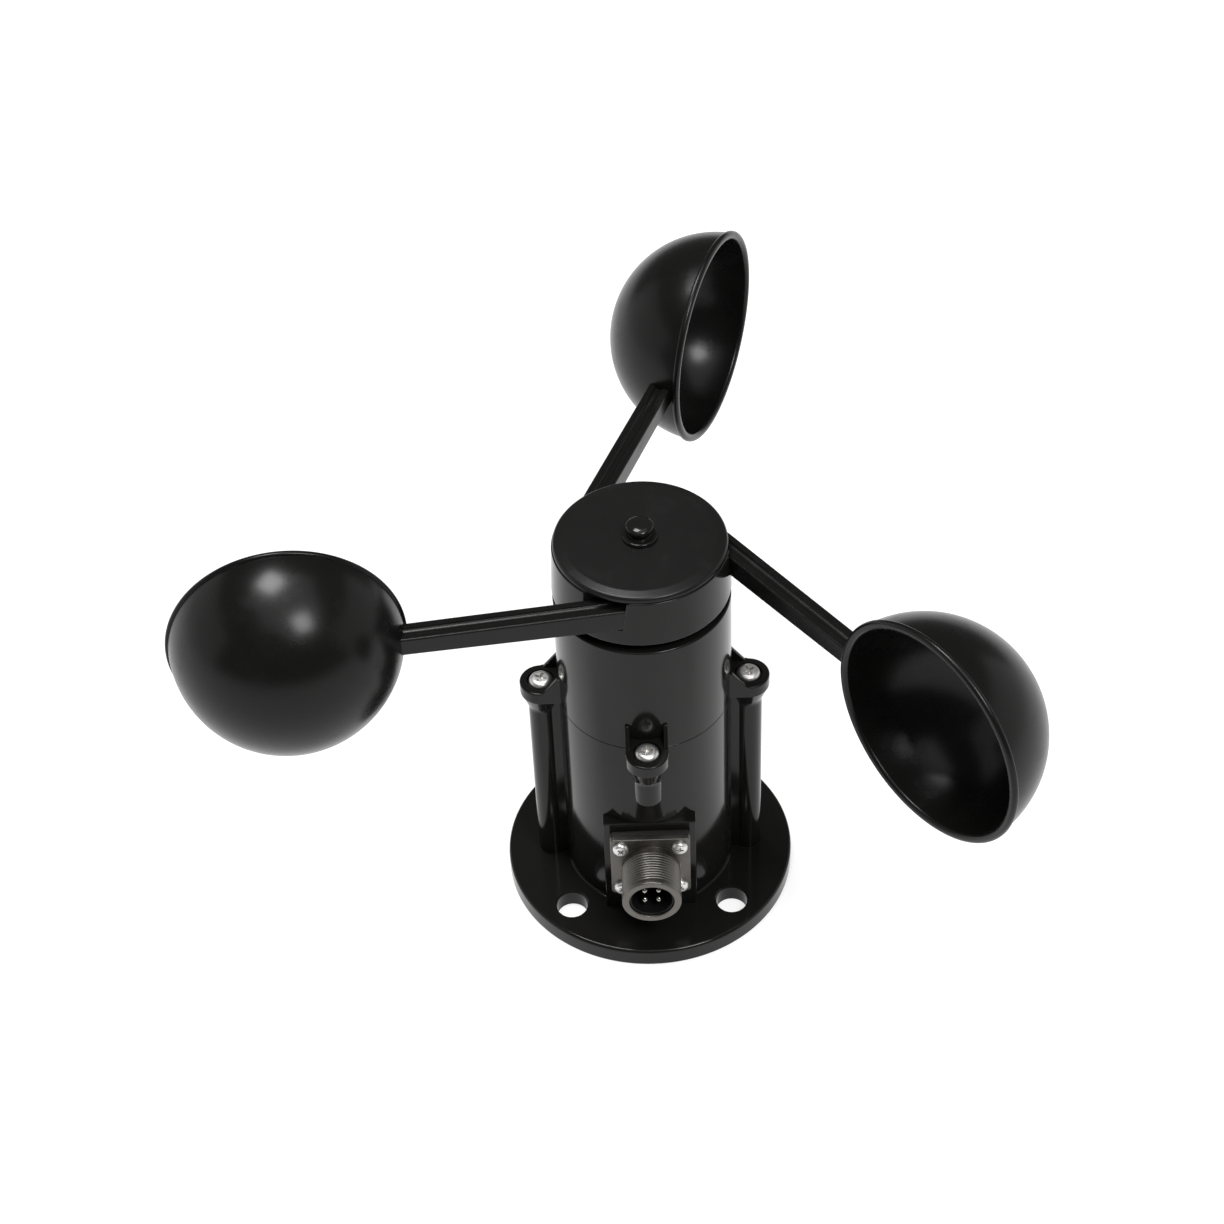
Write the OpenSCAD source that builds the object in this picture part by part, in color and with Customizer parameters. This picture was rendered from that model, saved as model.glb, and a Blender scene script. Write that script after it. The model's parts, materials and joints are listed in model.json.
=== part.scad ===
// Cup anemometer: a three-cup wind speed sensor on a round flange base.
// Millimetres, +Z up. The origin is the centre of the flange's underside,
// the rotor turns about Z, and the cable connector faces -Y.

/* [Base] */
// Diameter of the base flange
flange_d = 65; // [64:0.5:68]
// Thickness of the base flange
flange_t = 4.5; // [4:0.5:6]
// Diameter of the circle of mounting holes
hole_pcd = 51; // [50:0.5:52]
// Diameter of each mounting hole
hole_d = 7; // [4.5:0.5:7.5]

/* [Body] */
// Outside diameter of both housings
body_d = 37.6; // [37:0.2:38]
// Wall thickness of both housings
wall = 2.6; // [2.4:0.1:3]
// Height of the joint between the two housings
seam_z = 56; // [54:0.5:57]
// Distance of each corner post from the axis
post_r = 22.5; // [22:0.1:23]
// Diameter of each corner post
post_d = 6; // [5.5:0.1:6.4]
// Diameter of each screw ear on the upper housing
ear_d = 9.2; // [8.8:0.1:9.6]
// Height of each screw ear
ear_h = 3; // [2.6:0.1:3.6]

/* [Rotor] */
// Azimuth of the first arm at rest, in degrees
rotor_angle = -52.3; // [-180:0.1:180]
// Diameter of the hub skirt at its lower edge
hub_d = 37.8; // [37:0.2:38.4]
// Height of the hub's flat top
hub_top = 100; // [99.5:0.5:102]
// Distance of each arm's centre line from the axis
arm_offset = 15; // [14.8:0.1:15.2]
// Width of each arm
arm_w = 5; // [4.5:0.1:5.2]
// Height of each arm at the hub
arm_h = 5.2; // [5:0.1:5.6]

/* [Cups] */
// Distance of each cup's centre along its arm
cup_reach = 73.95; // [70:0.05:80]
// Outside radius of each cup
cup_r = 23.8; // [22:0.1:25]
// Wall thickness of each cup
cup_wall = 1.4; // [1.2:0.1:2]
// Outside radius of the bead round each cup's mouth
lip_r = 24.3; // [24.1:0.1:25.6]
// Width of that bead
lip_w = 1.4; // [1:0.1:2]

/* [Connector] */
// Height of the connector's axis
conn_z = 21.3; // [20:0.1:22.5]
// Side of the square connector flange
conn_side = 17.6; // [17:0.1:18]
// Outside diameter of the connector's threaded barrel
barrel_d = 13; // [12:0.1:13.4]
// Length of the barrel in front of its flange
barrel_l = 10.3; // [9:0.1:12]

/* [Bearings] */
// Diameter of the rotor shaft
shaft_d = 4; // [3.8:0.1:4.2]
// Outside diameter of each ball bearing
bearing_d = 13; // [12.8:0.1:13.2]
// Width of each ball bearing
bearing_w = 5; // [4.6:0.1:5]
// Number of balls in each bearing
ball_count = 7; // [5:1:7]

/* [Hidden] */
$fn = 96;

// Colours
black_plastic = [0.07, 0.07, 0.075];
satin_black = [0.1, 0.1, 0.1];
gunmetal = [0.36, 0.34, 0.32];
steel = [0.75, 0.75, 0.76];
rubber_black = [0.04, 0.04, 0.04];
board_green = [0.05, 0.3, 0.15];
chip_black = [0.12, 0.12, 0.13];
gold = [0.83, 0.68, 0.3];
brass = [0.8, 0.65, 0.35];

// Gaps between pieces that don't move against each other, and between those that do
snug = 0.02;
running = 0.05;
eps = 0.5;              // how far a cutter or a buried end runs past a face

// Base and lower housing
flange_r = flange_d / 2;
edge_break = 0.6;
floor_t = 3;
body_r = body_d / 2;
cavity_r = body_r - wall;
web_w = 4.4;
front_post_z = 45;      // the post above the connector is cut short
post_flare_h = 4;
pilot_d = 3;            // bore for each housing screw
pilot_z = 47;
pad_w = 20.4;
pad_top = 32.4;
pad_y = 19;             // front face of the connector pad, towards -Y
pad_back_y = 12.2;
pillar_r = 13.6;        // board pillars inside the lower housing
pillar_d = 6;
pillar_angles = [90, 210, 330];
board_z = 48;
board_t = 1.6;
board_top = board_z + board_t;
board_gap = 0.5;        // between the board's edge and the wall
board_screw_r = 12.4;
board_screw_d = 2;
board_screw_l = 7;
board_pilot_l = 8;

// Seal between the housings
seal_cord = 1.2;
seal_gap = 1.3;
seal_r = body_r - wall / 2;

// Upper housing
body_top = 84.8;
deck_t = 4.8;
neck_r = 14.5;
neck_top = 88.6;
tube_r = 9;
tube_bottom = 58.6;
tube_bore_r = 5.6;
lower_bearing_z = 60;
upper_bearing_z = 82.5;
circlip_groove_r = 7.1;
circlip_t = 1;
circlip_inner_r = 5.5;
circlip_gap = 3;
shaft_seal_t = 1;
shaft_seal_gap = 0.5;
cheek_t = 0.9;
cheek_h = 4.2;
cheek_foot = 0.5;       // how far each cheek stops short of the screw's axis
counterbore_d = 6.2;
counterbore_h = 1.1;
screw_clear_d = 3.4;
housing_head_d = 5.2;
housing_head_h = 1.9;
housing_screw_l = 10;

// Bearings
bearing_r = bearing_d / 2;
shaft_r = shaft_d / 2;
ball_r = 1.19;
ball_pitch_r = (bearing_r + shaft_r) / 2;
race_half_gap = 0.85;   // from the ball circle to each race's land
cage_half_w = 0.35;
cage_h = 3.4;

// Shaft line
shaft_bottom = 54;
stud_r = 1.48;
stud_top = 102.6;
clip_t = 0.6;
clip_z = 59.3;
clip_groove_r = 1.6;
clip_outer_r = 3.2;
clip_gap = 2.4;
spacer_r = 3;
magnet_holder_r = 6;
magnet_holder_z = 53;
magnet_holder_h = 4;
magnet_r = 1.5;
magnet_h = 2;
magnet_circle = 4;

// Hub and arms
hub_r = hub_d / 2;
hub_bottom = 87;
hub_rim_r = 18.4;
skirt_t = 2.3;
boss_r = 3.2;
plate_z = 89.4;
cap_t = 1.7;
cap_z = hub_top - cap_t;
cap_r = 18.4;
cap_flat_r = 15.9;
cap_edge_h = 0.9;       // height of the slope and soft corner round the flat
cap_corner = 0.4;
arm_top = hub_top - 3.8;
arm_root_z = arm_top - arm_h;
arm_tip_z = arm_root_z + 0.9;
arm_start = -1;
arm_end = cup_reach - cup_r + 4;
slot_gap = 0.05;
arm_groove_r = 1.2;
arm_groove_start = 6.5;
lug_l = 4.4;
core_r = [5.5, 11.5];
core_top = 96;

// Cups: each rim plane stands off the radial line through the cup's centre
cup_offset = 10.27;
cup_z = 94;
cup_inner_r = cup_r - cup_wall;

// Connector
gasket_t = 1.2;
conn_flange_t = 1.6;
conn_flange_y = pad_y + gasket_t;
conn_face_y = conn_flange_y + conn_flange_t;
mouth_y = conn_face_y + barrel_l;
socket_r = 4.9;
tail_r = 6;
tail_y = 12;
insert_face_y = 23.5;
skirt_y = mouth_y - 0.6; // end of the insert's skirt, which lines the socket
skirt_inner_r = 4.5;
pin_r = 0.75;
pin_half_pitch = 1.55;
pin_tip_y = mouth_y - 1.6;
pin_tail_y = 10;
pin_point_l = 0.6;
conn_screw_half = 6.45;
conn_screw_d = 1.9;
conn_screw_l = 6;
conn_pilot_l = 3.4;     // depth of each connector screw's bore in the pad
conn_clear_d = 2.2;
conn_head_d = 3.5;
conn_head_h = 1.3;

// A quarter oval about [x, z], from its outermost point up to its highest
function quarter(x, z, across, up, steps = 6) =
    [for (i = [0 : steps]) let (a = 90 * i / steps) [x + across * cos(a), z + up * sin(a)]];

// Children repeated at each corner, with local +X pointing outward from the axis
module at_corners() {
    for (a = [0 : 90 : 270]) rotate(a) children();
}

// Children placed with local +Z pointing along -Y, starting y in front of the axis
module facing_connector(y) {
    translate([0, -y, conn_z]) rotate([90, 0, 0]) children();
}

// Children repeated at the connector's four screws, in the connector's own frame
module at_connector_screws() {
    for (x = [-1, 1], z = [-1, 1])
        translate([x * conn_screw_half, z * conn_screw_half, 0]) children();
}

// Children repeated at the connector's four pins, in the connector's own frame
module at_pins() {
    for (x = [-1, 1], z = [-1, 1])
        translate([x * pin_half_pitch, z * pin_half_pitch, 0]) children();
}

// A cylinder with a bore through it
module ring(outer, inner, h) {
    difference() {
        cylinder(r = outer, h = h);
        translate([0, 0, -eps]) cylinder(r = inner, h = h + 2 * eps);
    }
}

// A pan-head machine screw: head on z = 0 going up, shank going down
module pan_screw(head_d, head_h, shank_d, length) {
    slot_w = head_d * 0.14;
    slot_l = head_d * 0.5;
    edge = head_h * 0.6;
    difference() {
        union() {
            rotate_extrude()
                polygon(concat([[0, 0], [head_d / 2, 0]],
                    quarter(head_d / 2 - edge, head_h - edge, edge, edge), [[0, head_h]]));
            translate([0, 0, -length]) cylinder(d = shank_d, h = length + head_h / 2);
        }
        for (turn = [0, 90])
            rotate(turn) translate([-slot_l / 2, -slot_w / 2, head_h - edge])
                cube([slot_l, slot_w, head_h]);
    }
}

// A post of the lower housing, with the flare that meets the ear above it
module corner_post(bottom) {
    translate([post_r, 0, bottom]) cylinder(d = post_d, h = seam_z - bottom);
    translate([post_r, 0, seam_z - post_flare_h])
        cylinder(d1 = post_d - 0.1, d2 = ear_d - 0.2, h = post_flare_h);
    translate([body_r - wall / 2, -web_w / 2, bottom])
        cube([post_r - body_r + wall / 2, web_w, seam_z - bottom]);
}

module lower_housing() {
    color(black_plastic) {
        difference() {
            union() {
                rotate_extrude()
                    polygon([[0, 0], [flange_r, 0], [flange_r, flange_t - edge_break],
                        [flange_r - edge_break, flange_t], [0, flange_t]]);
                translate([0, 0, flange_t / 2]) cylinder(r = body_r, h = seam_z - flange_t / 2);
                for (a = [0, 90, 180]) rotate(a) corner_post(flange_t / 2);
                rotate(270) corner_post(front_post_z);
                translate([-pad_w / 2, -pad_y, flange_t / 2])
                    cube([pad_w, pad_y - pad_back_y, pad_top - flange_t / 2]);
            }
            translate([0, 0, floor_t]) cylinder(r = cavity_r, h = seam_z);
            rotate_extrude()
                translate([seal_r - seal_gap / 2, seam_z - seal_gap]) square([seal_gap, seal_gap + eps]);
            for (a = [45 : 90 : 315])
                rotate(a) translate([hole_pcd / 2, 0, -eps]) cylinder(d = hole_d, h = flange_t + 2 * eps);
            at_corners() translate([post_r, 0, pilot_z]) cylinder(d = pilot_d, h = seam_z);
            facing_connector(pad_back_y) cylinder(r = tail_r + running, h = pad_y);
            facing_connector(pad_y - conn_pilot_l) at_connector_screws()
                cylinder(d = conn_screw_d + 0.1, h = pad_y);
        }
        // Pillars that carry the circuit board
        for (a = pillar_angles) rotate(a) translate([pillar_r, 0, 0])
            difference() {
                intersection() {
                    translate([0, 0, floor_t - eps]) cylinder(d = pillar_d, h = board_z - floor_t + eps);
                    translate([-pillar_r, 0, 0]) cylinder(r = cavity_r + eps, h = board_z);
                }
                translate([board_screw_r - pillar_r, 0, board_z - board_pilot_l])
                    cylinder(d = board_screw_d, h = board_pilot_l + eps);
            }
    }
}

module screw_ear() {
    ear_w = ear_d - 0.1;
    ear_top = seam_z + ear_h;
    cheek_end = post_r - cheek_foot;
    root_x = body_r - wall / 2;
    translate([post_r, 0, seam_z]) cylinder(d = ear_d, h = ear_h);
    translate([root_x, -ear_w / 2, seam_z]) cube([post_r - root_x, ear_w, ear_h]);
    for (side = [-1, 1])
        translate([0, side * (ear_w - cheek_t) / 2, 0]) rotate([90, 0, 0])
            linear_extrude(cheek_t, center = true)
                polygon([[root_x, ear_top - eps], [cheek_end, ear_top - eps], [cheek_end, ear_top],
                    [body_r, ear_top + cheek_h], [root_x, ear_top + cheek_h]]);
}

module upper_housing() {
    color(black_plastic)
    difference() {
        union() {
            rotate_extrude()
                polygon([[cavity_r, seam_z], [body_r, seam_z],
                    [body_r, body_top - edge_break], [body_r - edge_break, body_top],
                    [neck_r, body_top], [neck_r, neck_top],
                    [bearing_r + snug, neck_top], [bearing_r + snug, upper_bearing_z],
                    [tube_bore_r, upper_bearing_z], [tube_bore_r, lower_bearing_z + bearing_w],
                    [bearing_r + snug, lower_bearing_z + bearing_w], [bearing_r + snug, lower_bearing_z],
                    [circlip_groove_r, lower_bearing_z], [circlip_groove_r, lower_bearing_z - circlip_t],
                    [bearing_r + snug, lower_bearing_z - circlip_t], [bearing_r + snug, tube_bottom],
                    [tube_r, tube_bottom], [tube_r, body_top - deck_t],
                    [cavity_r, body_top - deck_t]]);
            at_corners() screw_ear();
        }
        at_corners() translate([post_r, 0, 0]) {
            translate([0, 0, seam_z - eps]) cylinder(d = screw_clear_d, h = ear_h + 2 * eps);
            translate([0, 0, seam_z + ear_h - counterbore_h]) cylinder(d = counterbore_d, h = 3 * cheek_h);
        }
    }
}

module housing_seal() {
    color(rubber_black)
    rotate_extrude() translate([seal_r, seam_z - seal_gap / 2]) circle(d = seal_cord);
}

module housing_screws() {
    color(steel)
    at_corners() translate([post_r, 0, seam_z + ear_h - counterbore_h])
        pan_screw(housing_head_d, housing_head_h, pilot_d - 0.1, housing_screw_l);
}

module connector_gasket() {
    color(rubber_black)
    facing_connector(pad_y) difference() {
        translate([-conn_side / 2, -conn_side / 2, 0]) cube([conn_side, conn_side, gasket_t]);
        translate([0, 0, -eps]) cylinder(r = tail_r + running, h = gasket_t + 2 * eps);
        translate([0, 0, -eps]) at_connector_screws() cylinder(d = conn_clear_d, h = gasket_t + 2 * eps);
    }
}

module connector_shell() {
    color(gunmetal)
    facing_connector(0) difference() {
        union() {
            translate([-conn_side / 2, -conn_side / 2, conn_flange_y])
                cube([conn_side, conn_side, conn_flange_t]);
            translate([0, 0, tail_y]) cylinder(r = tail_r, h = conn_face_y - tail_y);
            translate([0, 0, conn_flange_y + eps]) cylinder(d = barrel_d, h = mouth_y - conn_flange_y - eps);
        }
        translate([0, 0, tail_y - eps]) cylinder(r = socket_r, h = mouth_y);
        translate([0, 0, pad_y]) at_connector_screws()
            cylinder(d = conn_clear_d, h = conn_face_y - pad_y + eps);
    }
}

module connector_insert() {
    color(satin_black)
    facing_connector(tail_y) difference() {
        cylinder(r = socket_r - snug, h = skirt_y - tail_y);
        translate([0, 0, insert_face_y - tail_y]) cylinder(r = skirt_inner_r, h = skirt_y);
        translate([0, 0, -eps]) at_pins() cylinder(r = pin_r + snug, h = insert_face_y);
    }
}

module connector_pins() {
    straight = pin_tip_y - pin_tail_y - pin_point_l;
    color(gold)
    facing_connector(pin_tail_y) at_pins() {
        cylinder(r = pin_r, h = straight);
        translate([0, 0, straight]) cylinder(r1 = pin_r, r2 = pin_r * 0.4, h = pin_point_l);
    }
}

module connector_screws() {
    color(steel)
    facing_connector(conn_face_y) at_connector_screws()
        pan_screw(conn_head_d, conn_head_h, conn_screw_d, conn_screw_l);
}

module circuit_board() {
    color(board_green)
    difference() {
        translate([0, 0, board_z]) cylinder(r = cavity_r - board_gap, h = board_t);
        for (a = pillar_angles) rotate(a) translate([board_screw_r, 0, board_z - eps])
            cylinder(d = board_screw_d + 0.3, h = board_t + 2 * eps);
    }
}

module board_screws() {
    board_head_d = 3.4;
    board_head_h = 1.3;
    color(steel)
    for (a = pillar_angles) rotate(a) translate([board_screw_r, 0, board_top])
        pan_screw(board_head_d, board_head_h, board_screw_d - 0.1, board_screw_l);
}

// The chips, the capacitor and the wire header on the circuit board
module board_parts() {
    controller = [5, 4, 1.6];
    regulator = [3.5, 3, 1.2];
    driver = [6, 3, 1.4];
    header = [11, 4, 3];
    capacitor_d = 5;
    capacitor_h = 2.8;
    color(chip_black) {
        translate([-9, 3, board_top]) cube(controller);
        translate([5, 4, board_top]) cube(regulator);
        translate([-3, 7.5, board_top]) cube(driver);
    }
    color(steel) translate([-8, -1.2, board_top]) cylinder(d = capacitor_d, h = capacitor_h);
    color("white") translate([-header[0] / 2, -8, board_top]) cube(header);
}

module hall_sensor() {
    sensor = [4, 3, 1.5];
    color(rubber_black)
    translate([magnet_circle - sensor[0] / 2, -sensor[1] / 2, board_top]) cube(sensor);
}

// Four leads, each straight down from the board and round to its connector pin
module wiring() {
    lead_r = 0.6;
    bend_r = 3;
    upper_drop_y = -5.5;
    lower_drop_y = -1.5;
    colours = [[0.6, 0.1, 0.08], [0.08, 0.08, 0.08], [0.1, 0.35, 0.15], [0.8, 0.7, 0.1]];
    for (i = [0 : 3]) {
        x = (i % 2 == 0 ? -1 : 1) * pin_half_pitch;
        upper = i < 2;
        z = conn_z + (upper ? 1 : -1) * pin_half_pitch;
        drop_y = upper ? upper_drop_y : lower_drop_y;
        color(colours[i]) {
            translate([x, drop_y, z + bend_r]) cylinder(r = lead_r, h = board_z - z - bend_r);
            translate([x, drop_y - bend_r, z + bend_r]) rotate([0, 90, 0])
                rotate_extrude(angle = 90) translate([bend_r, 0]) circle(r = lead_r);
            translate([x, drop_y - bend_r, z]) rotate([90, 0, 0])
                cylinder(r = lead_r, h = pin_tail_y + drop_y - bend_r);
        }
    }
}

module outer_race(z) {
    color(steel)
    difference() {
        translate([0, 0, z]) ring(bearing_r, ball_pitch_r + race_half_gap, bearing_w);
        rotate_extrude() translate([ball_pitch_r, z + bearing_w / 2]) circle(r = ball_r + running);
    }
}

module inner_race(z) {
    color(steel)
    difference() {
        translate([0, 0, z]) ring(ball_pitch_r - race_half_gap, shaft_r + snug, bearing_w);
        rotate_extrude() translate([ball_pitch_r, z + bearing_w / 2]) circle(r = ball_r + running);
    }
}

module balls(z, r) {
    for (i = [0 : ball_count - 1])
        rotate(i * 360 / ball_count) translate([ball_pitch_r, 0, z + bearing_w / 2]) sphere(r = r);
}

module cage(z) {
    color(brass)
    difference() {
        translate([0, 0, z + (bearing_w - cage_h) / 2])
            ring(ball_pitch_r + cage_half_w, ball_pitch_r - cage_half_w, cage_h);
        balls(z, ball_r + running);
    }
}

module bearing_circlip() {
    color(steel)
    difference() {
        translate([0, 0, lower_bearing_z - circlip_t + running])
            ring(circlip_groove_r - running, circlip_inner_r, circlip_t - 2 * running);
        translate([0, -circlip_gap / 2, lower_bearing_z - circlip_t])
            cube([bearing_d, circlip_gap, circlip_t]);
    }
}

module shaft_seal() {
    color(rubber_black)
    translate([0, 0, upper_bearing_z + bearing_w]) 
        ring(bearing_r, boss_r + shaft_seal_gap, shaft_seal_t);
}

module bearing_spacer() {
    gap = upper_bearing_z - lower_bearing_z - bearing_w;
    color(steel)
    translate([0, 0, lower_bearing_z + bearing_w]) ring(spacer_r, shaft_r + snug, gap);
}

module rotor_shaft() {
    color(steel)
    difference() {
        union() {
            translate([0, 0, shaft_bottom]) cylinder(r = shaft_r, h = cap_z - shaft_bottom);
            translate([0, 0, cap_z - eps]) cylinder(r = stud_r, h = stud_top - cap_z + eps);
        }
        translate([0, 0, clip_z]) ring(shaft_r + eps, clip_groove_r, clip_t);
    }
}

module shaft_clip() {
    color(steel)
    difference() {
        translate([0, 0, clip_z + snug]) ring(clip_outer_r, clip_groove_r + snug, clip_t - 2 * snug);
        translate([0, -clip_gap / 2, clip_z - eps]) cube([clip_outer_r + eps, clip_gap, clip_t + 2 * eps]);
    }
}

module magnet_holder() {
    color(satin_black)
    difference() {
        translate([0, 0, magnet_holder_z]) cylinder(r = magnet_holder_r, h = magnet_holder_h);
        translate([0, 0, shaft_bottom]) cylinder(r = shaft_r + snug, h = magnet_holder_h);
        for (side = [0, 180]) rotate(side)
            translate([magnet_circle, 0, magnet_holder_z - eps])
                cylinder(r = magnet_r + snug, h = magnet_h + eps);
    }
}

module magnets() {
    color(steel)
    for (side = [0, 180]) rotate(side)
        translate([magnet_circle, 0, magnet_holder_z]) cylinder(r = magnet_r, h = magnet_h);
}

// Local frame of one arm and its cup: +X runs out along the arm, the cup opens towards -Y
module at_arm(index) {
    rotate(rotor_angle + 120 * (index - 1)) children();
}

module rotor_hub() {
    color(black_plastic)
    difference() {
        rotate_extrude()
            polygon([[shaft_r + snug, upper_bearing_z + bearing_w], [boss_r, upper_bearing_z + bearing_w],
                [boss_r, plate_z], [core_r[0], plate_z], [core_r[0], core_top], [core_r[1], core_top],
                [core_r[1], plate_z], [hub_r - skirt_t, plate_z], [hub_r - skirt_t, hub_bottom],
                [hub_r, hub_bottom], [hub_rim_r, cap_z], [shaft_r + snug, cap_z]]);
        for (i = [1 : 3]) at_arm(i)
            translate([arm_start - slot_gap, arm_offset - arm_w / 2 - slot_gap, arm_root_z])
                cube([hub_d, arm_w + 2 * slot_gap, hub_top - arm_root_z]);
    }
}

module hub_cap() {
    color(satin_black)
    difference() {
        union() {
            rotate_extrude()
                polygon([[0, cap_z], [cap_r, cap_z], [cap_r, hub_top - cap_edge_h],
                    [cap_r - cap_corner, hub_top - cap_edge_h + cap_corner], [cap_flat_r, hub_top],
                    [0, hub_top]]);
            // Lugs that press the arm roots into their slots
            for (i = [1 : 3]) at_arm(i)
                translate([arm_start, arm_offset - arm_w / 2 + slot_gap, arm_top])
                    cube([lug_l, arm_w - 2 * slot_gap, cap_z - arm_top + cap_t / 2]);
        }
        translate([0, 0, cap_z - eps]) cylinder(r = stud_r + running, h = cap_t + 2 * eps);
    }
}

module cap_nut() {
    collar_r = 3.7;
    collar_h = 0.9;
    collar_edge = 0.4;
    neck_r = 2.3;
    dome_r = 2.95;
    dome_foot = hub_top + 2.4;
    dome_z = hub_top + 3;
    dome_h = 1;
    color(satin_black)
    difference() {
        rotate_extrude()
            polygon(concat([[0, hub_top], [collar_r, hub_top]],
                quarter(collar_r - collar_edge, hub_top + collar_h - collar_edge, collar_edge, collar_edge),
                [[neck_r, hub_top + collar_h], [neck_r, dome_foot], [dome_r, dome_foot]],
                quarter(0, dome_z, dome_r, dome_h)));
        translate([0, 0, hub_top - eps]) cylinder(r = stud_r + snug, h = stud_top - hub_top + eps + snug);
    }
}

module arm(index) {
    color(black_plastic)
    at_arm(index) difference() {
        translate([0, arm_offset + arm_w / 2, 0]) rotate([90, 0, 0])
            linear_extrude(arm_w)
                polygon([[arm_start, arm_root_z], [cup_reach - cup_r, arm_tip_z],
                    [arm_end, arm_tip_z], [arm_end, arm_top], [arm_start, arm_top]]);
        translate([arm_groove_start, arm_offset, arm_top + arm_groove_r / 2]) rotate([0, 90, 0])
            cylinder(r = arm_groove_r, h = cup_reach);
        translate([cup_reach, cup_offset, cup_z]) sphere(r = cup_r);
    }
}

module cup(index) {
    color(black_plastic)
    at_arm(index) translate([cup_reach, cup_offset, cup_z]) rotate([-90, 0, 0])
        difference() {
            union() {
                intersection() {
                    sphere(r = cup_r);
                    cylinder(r = lip_r + 1, h = cup_r + 1);
                }
                cylinder(r = lip_r, h = lip_w);
            }
            sphere(r = cup_inner_r);
        }
}

lower_housing();
upper_housing();
housing_seal();
housing_screws();
connector_gasket();
connector_shell();
connector_insert();
connector_pins();
connector_screws();
circuit_board();
board_screws();
board_parts();
hall_sensor();
wiring();
outer_race(upper_bearing_z);  // upper_bearing_outer_race
outer_race(lower_bearing_z);  // lower_bearing_outer_race
bearing_circlip();
shaft_seal();
color(steel) balls(upper_bearing_z, ball_r);  // upper_bearing_balls
cage(upper_bearing_z);  // upper_bearing_cage
color(steel) balls(lower_bearing_z, ball_r);  // lower_bearing_balls
cage(lower_bearing_z);  // lower_bearing_cage
inner_race(upper_bearing_z);  // upper_bearing_inner_race
inner_race(lower_bearing_z);  // lower_bearing_inner_race
bearing_spacer();
rotor_shaft();
shaft_clip();
magnet_holder();
magnets();
rotor_hub();
hub_cap();
cap_nut();
arm(1);  // arm_1
arm(2);  // arm_2
arm(3);  // arm_3
cup(1);  // cup_1
cup(2);  // cup_2
cup(3);  // cup_3
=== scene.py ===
"""The visible pieces, finishes and studio of a cup anemometer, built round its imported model."""

import json
import math

import bmesh
import bpy
from bpy.props import FloatProperty, FloatVectorProperty, IntProperty, PointerProperty
from mathutils import Matrix, Vector


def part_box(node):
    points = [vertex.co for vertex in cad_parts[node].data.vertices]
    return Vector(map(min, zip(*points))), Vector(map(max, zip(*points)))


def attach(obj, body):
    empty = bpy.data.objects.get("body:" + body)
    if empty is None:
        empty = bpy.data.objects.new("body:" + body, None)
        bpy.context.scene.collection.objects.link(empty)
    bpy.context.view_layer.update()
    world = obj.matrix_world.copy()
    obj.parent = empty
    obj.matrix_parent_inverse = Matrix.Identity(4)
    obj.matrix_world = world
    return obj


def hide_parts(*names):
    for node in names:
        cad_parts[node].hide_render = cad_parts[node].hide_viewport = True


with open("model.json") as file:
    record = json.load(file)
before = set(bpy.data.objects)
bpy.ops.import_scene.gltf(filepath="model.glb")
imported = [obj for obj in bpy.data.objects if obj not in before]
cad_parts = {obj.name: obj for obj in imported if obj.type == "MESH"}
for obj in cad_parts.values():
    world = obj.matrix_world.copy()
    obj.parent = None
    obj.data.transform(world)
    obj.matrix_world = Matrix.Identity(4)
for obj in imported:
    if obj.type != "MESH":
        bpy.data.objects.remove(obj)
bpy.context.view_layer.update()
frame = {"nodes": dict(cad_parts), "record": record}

bl_info = {
    "name": "Cup anemometer",
    "version": (1, 0, 0),
    "blender": (4, 5, 0),
    "location": "View3D > Sidebar > Anemometer",
    "description": "Builds a cup anemometer's visible pieces, finishes and studio",
    "category": "Object",
}

MM = 0.001
BURIED = 0.5 * MM  # how far a cutter or a hidden end runs past a face
AXIS = 1e-7  # a radius below this is on the axis


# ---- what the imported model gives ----


def middle(node):
    """The middle of a CAD node's box."""
    low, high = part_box(node)
    return (low + high) / 2


def top(node):
    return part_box(node)[1].z


FLANGE_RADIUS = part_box("lower_housing")[1].x
SEAM = top("lower_housing")
NECK_TOP = top("upper_housing")
HUB_TOP = top("hub_cap")
HUB_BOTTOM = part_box("rotor_hub")[0].z
NUT_TOP = top("cap_nut")
CUP_HEIGHT = middle("cup_1").z
CONNECTOR_HEIGHT = middle("connector_insert").z
CONNECTOR_MOUTH = -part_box("connector_shell")[0].y
INSERT_BACK = -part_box("connector_insert")[1].y
INSERT_FRONT = -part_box("connector_insert")[0].y
GASKET_BACK = -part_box("connector_gasket")[1].y
GASKET_FACE = -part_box("connector_gasket")[0].y
CONNECTOR_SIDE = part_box("connector_gasket")[1].x * 2
PIN_TIP = -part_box("connector_pins")[0].y
PIN_TAIL = -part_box("connector_pins")[1].y
BOARD_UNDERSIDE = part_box("circuit_board")[0].z


# ---- settings ----


def length(name, description, default):
    """A length setting, in metres."""
    return FloatProperty(name=name, description=description, default=default, unit="LENGTH", precision=5)


def colour(name, description, default):
    """A colour setting, in linear light."""
    return FloatVectorProperty(
        name=name,
        description=description,
        default=default,
        subtype="COLOR",
        min=0,
        max=1,
    )


def share(name, description, default):
    """A setting from 0 to 1."""
    return FloatProperty(name=name, description=description, default=default, min=0, max=1, subtype="FACTOR")


def radiance(name, description, default):
    """A lamp's setting, in watts for each square metre and steradian."""
    return FloatProperty(name=name, description=description, default=default, min=0, subtype="UNSIGNED")


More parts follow.
